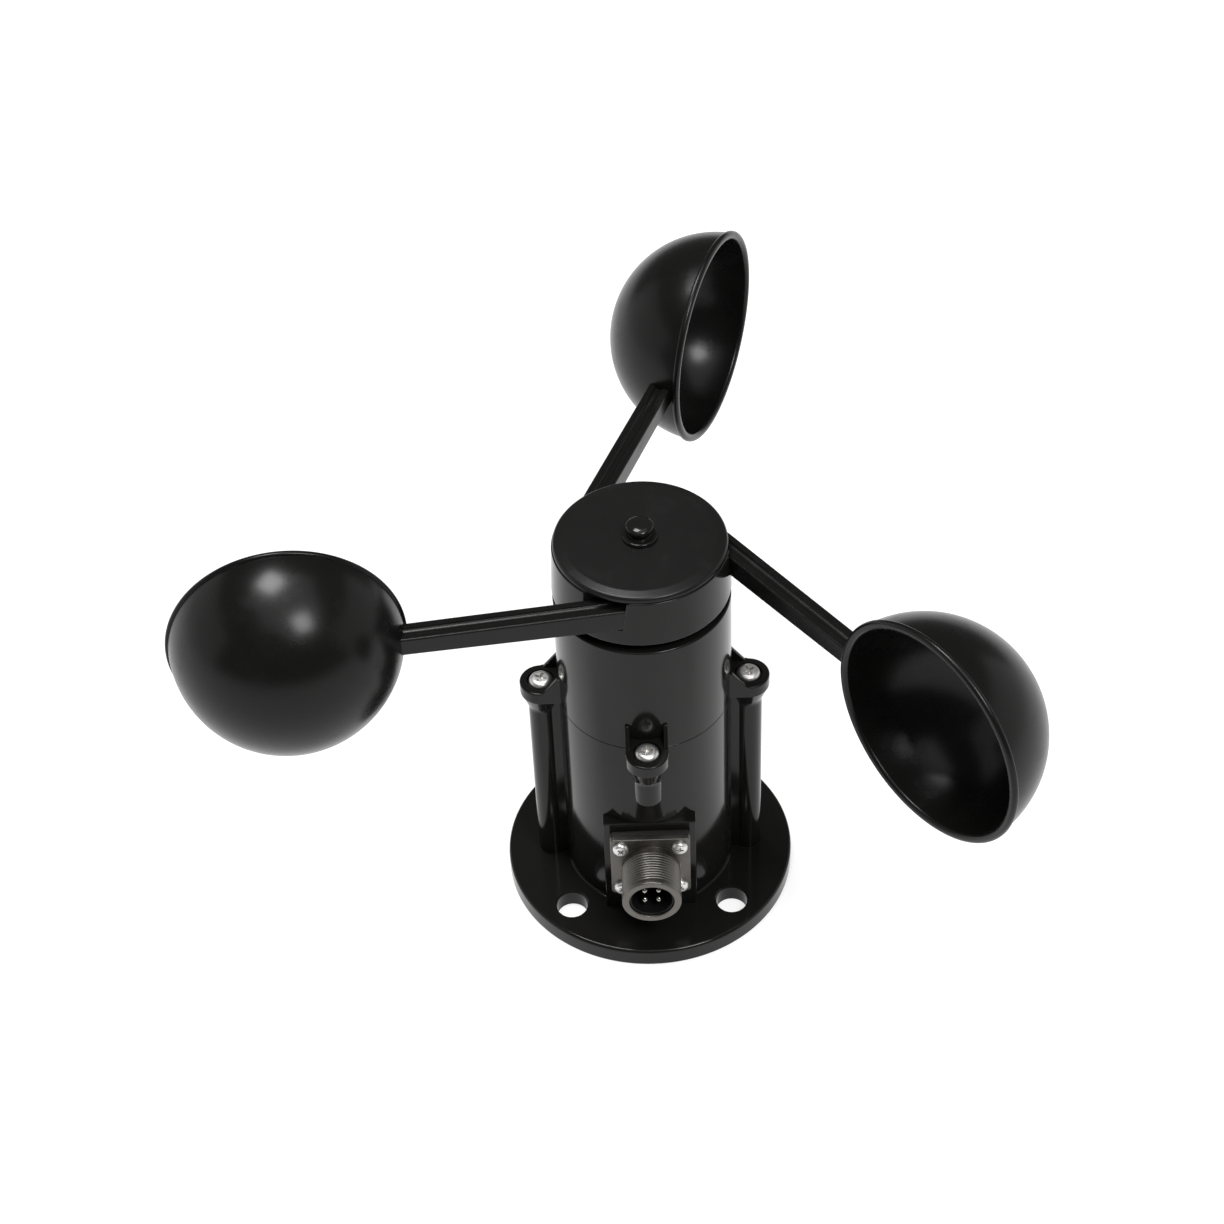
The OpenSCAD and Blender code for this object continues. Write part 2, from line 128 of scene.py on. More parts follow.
class HousingSettings(bpy.types.PropertyGroup):
    """Sizes of the two housings."""

    flange_thickness: length("Flange thickness", "Thickness of the base flange", 4.5 * MM)
    hole_circle: length("Hole circle", "Diameter of the circle of mounting holes", 51 * MM)
    hole_diameter: length("Hole diameter", "Diameter of each mounting hole", 7 * MM)
    body_radius: length("Body radius", "Outside radius of both housings", 18.8 * MM)
    wall: length("Wall", "Wall thickness of both housings", 2.6 * MM)
    body_top: length("Body top", "Height of the upper housing's shoulder", 84.8 * MM)
    post_distance: length("Post distance", "Distance of each post from the axis", 22.5 * MM)
    post_radius: length("Post radius", "Radius of each post", 3 * MM)
    flare_height: length("Flare height", "Height of the flare at the top of each post", 4 * MM)
    front_post_end: length("Front post end", "Height at which the post over the connector ends", 45 * MM)
    ear_radius: length("Ear radius", "Radius of each screw ear", 4.6 * MM)
    ear_height: length("Ear height", "Height of each screw ear", 3 * MM)
    pad_width: length("Pad width", "Width of the pad behind the connector", 20.4 * MM)
    pad_top: length("Pad top", "Height of the pad's top", 32.4 * MM)


class RotorSettings(bpy.types.PropertyGroup):
    """Sizes of the hub, the arms and the cups."""

    first_arm: FloatProperty(
        name="First arm",
        description="Azimuth of the first arm at rest",
        default=math.radians(-52.3),
        subtype="ANGLE",
    )
    hub_foot_radius: length("Hub foot radius", "Radius of the hub at its lower edge", 18.9 * MM)
    hub_rim_radius: length("Hub rim radius", "Radius of the hub at its upper edge", 18.4 * MM)
    cap_radius: length("Cap radius", "Radius of the cap", 18.15 * MM)
    cap_flat_radius: length("Cap flat radius", "Radius of the flat middle of the cap", 15.9 * MM)
    arm_offset: length("Arm offset", "Distance of each arm's centre line from the axis", 15 * MM)
    arm_width: length("Arm width", "Width of each arm", 5 * MM)
    arm_top: length("Arm top", "Height of the top of each arm", 96.2 * MM)
    arm_root: length("Arm root", "Height of the underside of each arm at the hub", 91 * MM)
    arm_tip: length("Arm tip", "Height of the underside of each arm at its cup", 91.9 * MM)
    cup_reach: length("Cup reach", "Distance of each cup's centre along its arm", 73.95 * MM)
    cup_offset: length("Cup offset", "Distance of each cup's centre beside its arm's radial line", 10.27 * MM)
    cup_radius: length("Cup radius", "Outside radius of each cup", 23.8 * MM)
    cup_wall: length("Cup wall", "Wall thickness of each cup", 1.4 * MM)
    bead_radius: length("Bead radius", "Outside radius of the bead round each mouth", 24.3 * MM)
    bead_width: length("Bead width", "Width of that bead", 1.4 * MM)


class ConnectorSettings(bpy.types.PropertyGroup):
    """Sizes of the cable connector."""

    barrel_radius: length("Barrel radius", "Outside radius of the threaded barrel", 6.5 * MM)
    bore_radius: length("Bore radius", "Radius of the socket in the barrel", 4.9 * MM)
    skirt_radius: length("Skirt radius", "Inside radius of the insulator's skirt", 4.5 * MM)
    insert_face: length("Insert face", "Distance of the insulator's face from the axis", 23.5 * MM)
    flange_thickness: length("Flange thickness", "Thickness of the square flange", 1.6 * MM)
    thread_pitch: length("Thread pitch", "Distance from one turn of the thread to the next", 0.7 * MM)
    thread_depth: length("Thread depth", "Depth of the thread", 0.13 * MM)
    screw_spacing: length("Screw spacing", "Distance from one flange screw to the next", 12.9 * MM)
    pin_radius: length("Pin radius", "Radius of each contact pin", 0.75 * MM)
    pin_spacing: length("Pin spacing", "Distance from one contact pin to the next", 3.1 * MM)


class FinishSettings(bpy.types.PropertyGroup):
    """Colours of the finishes that show."""

    gloss_black: colour("Gloss black", "Moulded body, arms and cups", (0.0078, 0.0076, 0.0072))
    satin_black: colour("Satin black", "Cap and nut", (0.0075, 0.0075, 0.0073))
    rubber: colour("Rubber", "Gasket and seals", (0.02, 0.018, 0.016))
    gunmetal: colour("Gunmetal", "Connector shell", (0.145, 0.136, 0.125))
    steel: colour("Steel", "Screws", (0.8, 0.79, 0.77))
    # painted shade: the pins' colour is darkened so their shafts read dark inside the socket
    contact: colour("Contact", "Contact pins", (0.42, 0.4, 0.36))


class StudioSettings(bpy.types.PropertyGroup):
    """The camera, the floor and the light."""

    aim: FloatVectorProperty(
        name="Aim",
        description="Point that the camera's middle ray passes through",
        default=(-0.0064, 0, 0.0787),
        subtype="TRANSLATION",
        unit="LENGTH",
    )
    distance: length("Distance", "Distance of the camera from that point", 0.54767)
    azimuth: FloatProperty(
        name="Azimuth",
        description="Turn of the camera round the object, from the connector's side",
        default=math.radians(0.9),
        subtype="ANGLE",
    )
    elevation: FloatProperty(
        name="Elevation",
        description="Height of the camera above the horizon",
        default=math.radians(44.293),
        subtype="ANGLE",
    )
    roll: FloatProperty(
        name="Roll",
        description="Tilt of the camera about its own view",
        default=math.radians(-2.542),
        subtype="ANGLE",
    )
    lens: FloatProperty(
        name="Lens",
        description="Focal length of the camera",
        default=76.28,
        subtype="DISTANCE_CAMERA",
        unit="CAMERA",
    )
    floor_shade: share("Floor shade", "Lightness of the floor", 0.35)
    floor_glow: share("Floor glow", "Light that comes up through the floor", 0.74)
    softbox: radiance("Softbox", "Radiance of the two softboxes", 24)
    scrim: radiance("Scrim", "Radiance of the wide cloth over the object", 1.3)
    panel: radiance("Panel", "Radiance of the side panels", 0.7)
    surround: share("Surround", "Brightness of the dim room", 0.1)
    segments: IntProperty(
        name="Segments",
        description="Sides of each large turned piece",
        default=144,
        min=24,
        subtype="UNSIGNED",
    )


# ---- shader maths ----


class Graph:
    """The nodes of one material."""

    def __init__(self, name):
        if name in bpy.data.materials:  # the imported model's plain one gives up the name
            bpy.data.materials[name].name = f"plain_{name}"
        self.material = bpy.data.materials.new(name)
        self.material.use_nodes = True
        self.tree = self.material.node_tree
        self.tree.nodes.clear()

    def node(self, kind, settings=None, sockets=None, output=0):
        """Adds a node, sets it, fills its sockets with values or links, and gives an output, if any."""
        made = self.tree.nodes.new(kind)
        for name, value in (settings or {}).items():
            setattr(made, name, value)
        for name, value in (sockets or {}).items():
            socket = self.find(made.inputs, name)
            if isinstance(value, Signal):
                self.tree.links.new(value.socket, socket)
            else:
                socket.default_value = value
        return Signal(self, self.find(made.outputs, output)) if made.outputs else None

    @staticmethod
    def find(sockets, name):
        """A socket by its number, its identifier or its name."""
        if isinstance(name, int):
            return sockets[name]
        return next((s for s in sockets if s.identifier == name), None) or sockets[name]

    def place(self, stretch=(1, 1, 1)):
        """The place on the object, stretched along each axis."""
        where = self.node("ShaderNodeTexCoord", output="Object")
        return self.node("ShaderNodeVectorMath", {"operation": "MULTIPLY"}, {0: where, 1: stretch})

    def noise(self, scale, detail=3, roughness=0.5, stretch=(1, 1, 1)):
        """Noise from 0 to 1, with scale cells to the metre."""
        sockets = {"Vector": self.place(stretch), "Scale": scale, "Detail": detail, "Roughness": roughness}
        return self.node("ShaderNodeTexNoise", {"normalize": True}, sockets)

    def above(self, value, low, high):
        """0 below low, 1 above high, and a smooth step between them."""
        sockets = {"Value": value, "From Min": low, "From Max": high}
        return self.node("ShaderNodeMapRange", {"interpolation_type": "SMOOTHSTEP"}, sockets)

    def mix(self, factor, one, two):
        """One colour at factor 0 and the other at factor 1."""
        sockets = {"Factor_Float": factor, "A_Color": self.paint(one), "B_Color": self.paint(two)}
        return self.node("ShaderNodeMix", {"data_type": "RGBA"}, sockets, "Result_Color")

    @staticmethod
    def paint(shade):
        return shade if isinstance(shade, Signal) else (*shade[:3], 1)

    def edges(self, radius):
        """1 along the piece's sharp edges and 0 on its faces."""
        softened = self.node("ShaderNodeBevel", {"samples": 4}, {"Radius": radius})
        flat = self.node("ShaderNodeNewGeometry", output="Normal")
        dot = {"operation": "DOT_PRODUCT"}
        alike = self.node("ShaderNodeVectorMath", dot, {0: softened, 1: flat}, "Value")
        return self.above(1 - alike, 0.02, 0.22)

    def bump(self, height, depth):
        """A normal that follows height, depth metres deep."""
        sockets = {"Height": height, "Distance": depth, "Strength": 1}
        return self.node("ShaderNodeBump", None, sockets, "Normal")

    def finish(self, base, roughness, normal, **constants):
        """Ends the material with a Principled shader."""
        sockets = {"Base Color": self.paint(base), "Roughness": roughness, "Normal": normal, **constants}
        shader = self.node("ShaderNodeBsdfPrincipled", None, sockets)
        self.node("ShaderNodeOutputMaterial", None, {"Surface": shader})
        return self.material


class Signal:
    """One output of a node. Arithmetic on it adds Math nodes."""

    def __init__(self, graph, socket):
        self.graph = graph
        self.socket = socket

    def reckon(self, operation, one, two):
        return self.graph.node("ShaderNodeMath", {"operation": operation}, {0: one, 1: two})

    def __add__(self, other):
        return self.reckon("ADD", self, other)

    def __radd__(self, other):
        return self.reckon("ADD", other, self)

    def __sub__(self, other):
        return self.reckon("SUBTRACT", self, other)

    def __rsub__(self, other):
        return self.reckon("SUBTRACT", other, self)

    def __mul__(self, other):
        return self.reckon("MULTIPLY", self, other)

    def __rmul__(self, other):
        return self.reckon("MULTIPLY", other, self)


# ---- finishes ----


def tinted(shade, amount):
    """A colour made lighter or darker."""
    return [min(1, channel * amount) for channel in shade[:3]]


def moulded(name, shade, roughness, grain=4000, grain_depth=0.002 * MM, waves=0.0, wear=0.012, shine=0.2):
    """Moulded plastic or rubber: fine grain, slow waves, light smudges and paler edges."""
    g = Graph(name)
    patches = g.noise(45, 4, 0.55)
    smudges = g.above(g.noise(140, 5, 0.6), 0.5, 0.72)
    specks = g.above(g.noise(2600, 2, 0.5), 0.7, 0.78)
    # rubbed edges, paler and rougher in patches
    edge_mask = g.edges(0.35 * MM) * g.above(g.noise(400, 3), 0.35, 0.7)
    base = g.mix(patches, tinted(shade, 0.8), tinted(shade, 1.25))
    base = g.mix(specks * 0.25, base, tinted(shade, 3))
    base = g.mix(edge_mask, base, [channel + wear for channel in shade[:3]])
    rough = roughness + smudges * (0.35 * roughness) + patches * (0.2 * roughness)
    rough = rough + edge_mask * 0.12 + specks * 0.05
    height = g.noise(grain, 2, 0.5) * grain_depth + g.noise(75, 2, 0.4) * waves
    return g.finish(base, rough, g.bump(height * (1 / MM), MM), **{"Specular IOR Level": shine})


def metal(name, shade, roughness, stretch=(1, 1, 1), lines=2500, depth=0.003 * MM, bright_edges=1.8):
    """Metal with fine tool marks along one direction, a little tarnish, and edges made lighter: partly
    polished metal, partly painted highlight.
    """
    g = Graph(name)
    marks = g.noise(lines, 3, 0.6, stretch)
    tarnish = g.noise(260, 4, 0.6)
    # every edge is made lighter by bright_edges: partly rubbed metal, partly painted highlight
    edge_mask = g.edges(0.25 * MM)
    base = g.mix(tarnish, tinted(shade, 0.72), tinted(shade, 1.12))
    base = g.mix(edge_mask, base, tinted(shade, bright_edges))
    rough = roughness + marks * (0.4 * roughness) + tarnish * (0.35 * roughness) - edge_mask * (0.3 * roughness)
    return g.finish(base, rough, g.bump(marks * (depth / MM), MM), Metallic=1)


def board_finish(name, shade):
    """Green solder mask over copper tracks."""
    g = Graph(name)
    cells = {"Vector": g.place(), "Scale": 420}
    tracks = g.node("ShaderNodeTexVoronoi", {"feature": "DISTANCE_TO_EDGE", "distance": "MANHATTAN"}, cells)
    copper = 1 - g.above(tracks, 0.05, 0.09)
    base = g.mix(copper, tinted(shade, 0.8), tinted(shade, 1.9))
    return g.finish(base, 0.3 + copper * 0.08, g.bump(copper * 0.03, MM))


ACROSS_Y = (0.02, 1, 0.02)  # marks that run round the connector's barrel
ACROSS_Z = (0.02, 0.02, 1)  # marks that run round the shaft


def build_finishes(shades):
    """Every finish, by the record's name for it. Arms and cups share the body's slot but shine less, and
    their black is darkened as painted shade.
    """
    # painted shade: the arms and cups get the body's black made darker
    shaded_rotor_black = tinted(shades.gloss_black, 0.6)
    return {
        "gloss_plastic": moulded("gloss_plastic", shades.gloss_black, 0.11, 900, 0.0012 * MM, 0.004 * MM),
        "rotor_plastic": moulded("rotor_plastic", shaded_rotor_black, 0.23, 900, 0.0015 * MM, 0.06 * MM),
        "satin_plastic": moulded("satin_plastic", shades.satin_black, 0.27, 5200, 0.004 * MM, 0.0, 0.03),
        "seal_rubber": moulded("seal_rubber", shades.rubber, 0.5, 3500, 0.006 * MM),
        "screw_steel": metal("screw_steel", shades.steel, 0.28, bright_edges=1.15),
        # the shell's edges are made much lighter: rubbed metal and painted highlight
        "connector_metal": metal("connector_metal", shades.gunmetal, 0.3, ACROSS_Y, bright_edges=2.6),
        "insulator": moulded("insulator", (0.006, 0.006, 0.006), 0.4),
        # the pins take the darkened contact colour, painted shade
        "contact_gold": metal("contact_gold", shades.contact, 0.13, bright_edges=1.0),
        "board": board_finish("board", (0.01, 0.09, 0.035)),
        "component": moulded("component", (0.02, 0.02, 0.022), 0.45),
        "wire": moulded("wire", (0.25, 0.03, 0.02), 0.35),
        "bearing_steel": metal("bearing_steel", (0.6, 0.6, 0.61), 0.2, ACROSS_Z),
        "ball_steel": metal("ball_steel", (0.75, 0.75, 0.76), 0.08),
        "cage_brass": metal("cage_brass", (0.55, 0.38, 0.13), 0.25, ACROSS_Z),
        "shaft_steel": metal("shaft_steel", (0.6, 0.6, 0.62), 0.22, ACROSS_Z),
        "magnet": metal("magnet", (0.62, 0.62, 0.64), 0.15),
    }


# ---- outlines and meshes ----


def rounded(corners, steps=4):
    """A closed outline from corners of (x, y, radius): each corner gets an arc of that radius."""
    outline = []
    for i, (x, y, radius) in enumerate(corners):
        corner = Vector((x, y))
        before = (Vector(corners[i - 1][:2]) - corner).normalized()
        after = (Vector(corners[(i + 1) % len(corners)][:2]) - corner).normalized()
        half = before.angle(after) / 2
        if radius <= 0 or half > math.radians(89):
            outline.append((x, y))
            continue
        centre = corner + (before + after).normalized() * (radius / math.sin(half))
        start = corner + before * (radius / math.tan(half)) - centre
        end = corner + after * (radius / math.tan(half)) - centre
        for k in range(steps + 1):
            spot = centre + (start * (1 - k / steps) + end * (k / steps)).normalized() * radius
            outline.append((spot.x, spot.y))
    return outline


def oval(x, y, across, up, first, last, steps=10):
    """Points on an oval about (x, y), from one angle to another in degrees."""
    angles = [math.radians(first + (last - first) * k / steps) for k in range(steps + 1)]
    return [(x + across * math.cos(a), y + up * math.sin(a)) for a in angles]


def plain(points):
    """Corners with no rounding, from bare points."""
    return [(x, y, 0) for x, y in points]


def turned(outline, segments=96, shift=None):
    """A solid turned about Z from a closed outline of (radius, height)."""
    solid = bmesh.new()
    rings = []
    for radius, height in outline:
        if radius < AXIS:
            rings.append([solid.verts.new((0, 0, height))])
            continue
        ring = []
        for k in range(segments):
            angle = math.tau * k / segments
            r = shift(radius, height, angle) if shift else radius
            ring.append(solid.verts.new((r * math.cos(angle), r * math.sin(angle), height)))
        rings.append(ring)
    for one, two in zip(rings, rings[1:] + rings[:1]):
        if len(one) == 1 and len(two) == 1:
            continue
        for k in range(segments):
            n = (k + 1) % segments
            corners = [one[k % len(one)], one[n % len(one)], two[n % len(two)], two[k % len(two)]]
            solid.faces.new(list(dict.fromkeys(corners)))
    bmesh.ops.recalc_face_normals(solid, faces=solid.faces)
    return solid


def rod(radius, low, high, segments=64):
    """A plain round solid from low to high."""
    return turned([(0, low), (radius, low), (radius, high), (0, high)], segments)


def prism(outline, low, high, edge=0.0, steps=3):
    """A solid with that outline from low to high, its end edges rounded."""
    solid = bmesh.new()
    ends = [[solid.verts.new((x, y, z)) for x, y in outline] for z in (low, high)]
    caps = [solid.faces.new(ring) for ring in ends]
    for k in range(len(outline)):
        n = (k + 1) % len(outline)
        solid.faces.new([ends[0][k], ends[0][n], ends[1][n], ends[1][k]])
    bmesh.ops.recalc_face_normals(solid, faces=solid.faces)
    if edge > 0:
        rims = [e for cap in caps for e in cap.edges]
        bmesh.ops.bevel(solid, geom=rims, offset=edge, segments=steps, profile=0.5, affect="EDGES")
    return solid


def lofted(sections):
    """A solid through sections that are closed rings of the same number of points."""
    solid = bmesh.new()
    rings = [[solid.verts.new(point) for point in section] for section in sections]
    for one, two in zip(rings, rings[1:]):
        for k in range(len(one)):
            n = (k + 1) % len(one)
            solid.faces.new([one[k], one[n], two[n], two[k]])
    solid.faces.new(rings[0])
    solid.faces.new(rings[-1])
    bmesh.ops.recalc_face_normals(solid, faces=solid.faces)
    return solid


def box_outline(x0, x1, y0, y1, radius=0.0):
    """A rectangle with rounded corners."""
    return rounded([(x0, y0, radius), (x1, y0, radius), (x1, y1, radius), (x0, y1, radius)])


def placed(solid, matrix):
    solid.transform(matrix)
    return solid


def as_object(name, solid):
    """A new object that holds the solid."""
    mesh = bpy.data.meshes.new(name)
    solid.to_mesh(mesh)
    solid.free()
    made = bpy.data.objects.new(name, mesh)
    bpy.context.scene.collection.objects.link(made)
    return made


def combined(base, operation, solids):
    """The base object with each solid joined to it or cut from it."""
    tools = [as_object("tool", solid) for solid in solids]
    for tool in tools:
        step = base.modifiers.new("step", "BOOLEAN")
        step.operation = operation
        step.solver = "EXACT"
        step.object = tool
    bpy.context.view_layer.update()
    settled = bpy.data.meshes.new_from_object(base.evaluated_get(bpy.context.evaluated_depsgraph_get()))
    base.modifiers.clear()
    base.data = settled
    for tool in tools:
        bpy.data.objects.remove(tool)
    return base


def gathered(name, solids):
    """One object that holds several separate solids."""
    whole = bmesh.new()
    for solid in solids:
        part = bpy.data.meshes.new("part")
        solid.to_mesh(part)
        solid.free()
        whole.from_mesh(part)
        bpy.data.meshes.remove(part)
    return as_object(name, whole)


def show(piece, node, body, slot, finish=None, sharp=38, slack=0.45 * MM):
    """Gives a piece its finish and body, and lets it stand for its CAD node, which it has to match."""
    piece.data.materials.clear()
    piece.data.materials.append(bpy.data.materials[finish or slot])
    piece.data.shade_smooth()
    piece.data.set_sharp_from_angle(angle=math.radians(sharp))
    even = piece.modifiers.new("even shading", "WEIGHTED_NORMAL")
    even.keep_sharp = True
    spots = [vertex.co for vertex in piece.data.vertices]
    for side, pick in zip(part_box(node), (min, max)):
        for axis in range(3):
            gap = pick(spot[axis] for spot in spots) - side[axis]
            if abs(gap) > slack:
                raise RuntimeError(f"{piece.name} is {gap / MM:.2f} mm off {node} along axis {axis}")
    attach(piece, body)
    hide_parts(node)
    return piece


def slot_of(node):
    """The record's finish for a CAD node."""
    return next(part["material_slot"] for part in frame["record"]["subparts"] if part["node"] == node)


# ---- the housings ----

FRONT = 3  # the corner over the connector, counting quarter turns from +X
SEAM_EDGE = 0.18 * MM  # softening of both housings' edges at the joint
TAIL_BORE = 6.05 * MM  # radius of the way through for the connector's tail
SCREW_SEAT = 1.1 * MM  # depth of each housing screw's seat in its ear


def corner(index):
    """A quarter-turn place, with +X pointing outward from the axis."""
    return Matrix.Rotation(index * math.pi / 2, 4, "Z")


def outward(distance):
    return Matrix.Translation((distance, 0, 0))


def facing_connector():
    """Turns +Z to point out of the connector, along -Y."""
    return Matrix.Translation((0, 0, CONNECTOR_HEIGHT)) @ Matrix.Rotation(math.pi / 2, 4, "X")


def post(h, index):
    """A post, with the flare under the ear that it ends in."""
    bottom = h.front_post_end if index == FRONT else h.flange_thickness / 2
    edge = 0.5 * MM if index == FRONT else 0
    outline = [(0, bottom, 0), (h.post_radius, bottom, edge), (h.post_radius, SEAM - h.flare_height, 5 * MM)]
    outline += [(h.ear_radius - 0.1 * MM, SEAM, 0.1 * MM), (0, SEAM, 0)]
    return placed(turned(rounded(outline, 8), 64), corner(index) @ outward(h.post_distance))


def post_web(h, index):
    """The web between a post and the body."""
    width = 4.4 * MM
    bottom = h.front_post_end if index == FRONT else h.flange_thickness / 2
    outline = box_outline(h.body_radius - h.wall / 2, h.post_distance, -width / 2, width / 2)
    return placed(prism(outline, bottom, SEAM), corner(index))


def mounting_hole(h, index):
    """A cutter for one mounting hole with softened mouths."""
    r = h.hole_diameter / 2
    t = h.flange_thickness
    edge = 0.35 * MM
    wide = r + edge + BURIED
    outline = [(0, -BURIED), (wide, -BURIED), (r, edge), (r, t - edge), (wide, t + BURIED), (0, t + BURIED)]
    turn = Matrix.Rotation(math.radians(45 + 90 * index), 4, "Z")
    return placed(turned(outline, 48), turn @ outward(h.hole_circle / 2))


class ANEMOMETER_OT_lower_housing(bpy.types.Operator):
    """Build the base flange, the lower body, its posts and the connector pad"""

    bl_idname = "anemometer.lower_housing"
    bl_label = "Lower housing"

    def execute(self, context):
        h = context.scene.anemometer_housing
        floor = 3 * MM
        cavity = h.body_radius - h.wall
        pad_back = 12.2 * MM
        pilot_radius, pilot_bottom = 1.5 * MM, 47 * MM
        pillar_radius, pillar_distance = 2.8 * MM, 13.4 * MM
        shell = [(0, 0, 0), (FLANGE_RADIUS, 0, 0.4 * MM), (FLANGE_RADIUS, h.flange_thickness, 0.7 * MM)]
        shell += [(h.body_radius, h.flange_thickness, 0.5 * MM)]
        shell += [(h.body_radius, SEAM, SEAM_EDGE), (0, SEAM, 0)]
        segments = context.scene.anemometer_studio.segments
        piece = as_object("lower_body", turned(rounded(shell), segments))
        pad = box_outline(-h.pad_width / 2, h.pad_width / 2, -GASKET_BACK, -pad_back, 0.3 * MM)
        added = [prism(pad, h.flange_thickness / 2, h.pad_top, 0.25 * MM)]
        added += [post(h, k) for k in range(4)]
        added += [post_web(h, k) for k in range(4)]
        combined(piece, "UNION", added)
        cuts = [rod(cavity, floor, SEAM + BURIED, segments)]
        cuts += [placed(rod(TAIL_BORE, pad_back, 30 * MM), facing_connector())]
        cuts += [mounting_hole(h, k) for k in range(4)]
        for k in range(4):
            pilot = rod(pilot_radius, pilot_bottom, SEAM + BURIED, 32)
            cuts.append(placed(pilot, corner(k) @ outward(h.post_distance)))
        combined(piece, "DIFFERENCE", cuts)
        for turn in (90, 210, 330):
            place = Matrix.Rotation(math.radians(turn), 4, "Z") @ outward(pillar_distance)
            pillar = rod(pillar_radius, floor - BURIED, BOARD_UNDERSIDE, 32)
            combined(piece, "UNION", [placed(pillar, place)])
        show(piece, "lower_housing", "housing", "gloss_plastic")
        return {"FINISHED"}


def ear(h, index):
    """A screw ear: a round boss, the block behind it and a cheek on each side."""
    root = h.body_radius - h.wall / 2
    half = h.ear_radius - 0.05 * MM
    ear_top = SEAM + h.ear_height
    edge = 0.35 * MM
    cheek = 0.9 * MM
    cheek_height = 4.2 * MM
    cheek_foot = h.post_distance - 0.5 * MM
    boss = [(0, SEAM, 0), (h.ear_radius, SEAM, 0.15 * MM), (h.ear_radius, ear_top, edge), (0, ear_top, 0)]
    solids = [placed(turned(rounded(boss), 64), outward(h.post_distance))]
    solids.append(prism(box_outline(root, h.post_distance, -half, half), SEAM, ear_top))
    side = [(root, ear_top - BURIED, 0), (cheek_foot, ear_top - BURIED, 0), (cheek_foot, ear_top, 0)]
    side += [(h.body_radius, ear_top + cheek_height, 0.3 * MM), (root, ear_top + cheek_height, 0)]
    for sign in (-1, 1):
        plate = prism(rounded(side), -cheek / 2, cheek / 2, 0.18 * MM)
        shift = Matrix.Translation((0, sign * (half - cheek / 2), 0))
        solids.append(placed(plate, shift @ Matrix.Rotation(math.pi / 2, 4, "X")))
    return [placed(solid, corner(index)) for solid in solids]


class ANEMOMETER_OT_upper_housing(bpy.types.Operator):
    """Build the upper body, its neck, bearing tube and screw ears"""

    bl_idname = "anemometer.upper_housing"
    bl_label = "Upper housing"

    def execute(self, context):
        h = context.scene.anemometer_housing
        cavity = h.body_radius - h.wall
        neck = 14.5 * MM
        pocket, bore, groove, tube = 6.52 * MM, 5.6 * MM, 7.1 * MM, 9 * MM
        upper_pocket, lower_pocket_top, lower_pocket = 82.5 * MM, 65 * MM, 60 * MM
        groove_foot, tube_foot, deck = 59 * MM, 58.6 * MM, 80 * MM
        shell = [(cavity, SEAM, 0), (h.body_radius, SEAM, SEAM_EDGE), (h.body_radius, h.body_top, 0.4 * MM)]
        shell += [(neck, h.body_top, 0.3 * MM), (neck, NECK_TOP, 0.4 * MM)]
        shell += plain([(pocket, 88.6 * MM), (pocket, upper_pocket), (bore, upper_pocket)])
        shell += plain([(bore, lower_pocket_top), (pocket, lower_pocket_top), (pocket, lower_pocket)])
        shell += plain([(groove, lower_pocket), (groove, groove_foot), (pocket, groove_foot)])
        shell += plain([(pocket, tube_foot), (tube, tube_foot), (tube, deck), (cavity, deck)])
        piece = as_object("upper_body", turned(rounded(shell), context.scene.anemometer_studio.segments))
        for k in range(4):
            combined(piece, "UNION", ear(h, k))
        seat = SEAM + h.ear_height - SCREW_SEAT
        clear, counterbore = 1.7 * MM, 3.1 * MM
        above = seat + 12 * MM
        cut = [(0, SEAM - BURIED), (clear, SEAM - BURIED), (clear, seat)]
        cut += [(counterbore, seat), (counterbore, above), (0, above)]
        cuts = [placed(turned(cut, 48), corner(k) @ outward(h.post_distance)) for k in range(4)]
        combined(piece, "DIFFERENCE", cuts)
        show(piece, "upper_housing", "housing", "gloss_plastic")
        return {"FINISHED"}


# ---- screws ----


def pan_screw(name, head, height, shank, depth):
    """A pan-head screw with a cross recess: its head stands on z = 0."""
    edge = height * 0.6
    outline = [(0, -depth), (shank, -depth), (shank, 0), (head, 0)]
    outline += oval(head - edge, height - edge, edge, edge, 0, 90, 6) + [(0, height)]
    screw = as_object(name, turned(outline, 48))
    wide, long = head * 0.15, head * 0.56
    taper = 0.7  # size of the recess at its foot, as a share of its mouth
    cuts = []
    for w, l in ((wide, long), (long, wide)):
        w, l = w * taper, l * taper
        foot = [(-w, -l), (w, -l), (w, l), (-w, l)]
        deep = [(x, y, height * 0.45) for x, y in foot]
        mouth = [(x / taper, y / taper, height + BURIED) for x, y in foot]
        cuts.append(lofted([deep, mouth]))
    combined(screw, "DIFFERENCE", cuts)
    return screw


def screw_set(name, pattern, places):
    """One object with a copy of the pattern screw at each place, each turned its own way."""
    solids = []
    for k, place in enumerate(places):
        copy = bmesh.new()
        copy.from_mesh(pattern.data)
        solids.append(placed(copy, place @ Matrix.Rotation(0.5 + 1.9 * k, 4, "Z")))
    bpy.data.objects.remove(pattern)
    return gathered(name, solids)


def grid_places(spacing, depth):
    """Four places on a square in the connector's own frame."""
    half = spacing / 2
    return [Matrix.Translation((x * half, y * half, depth)) for x in (-1, 1) for y in (-1, 1)]


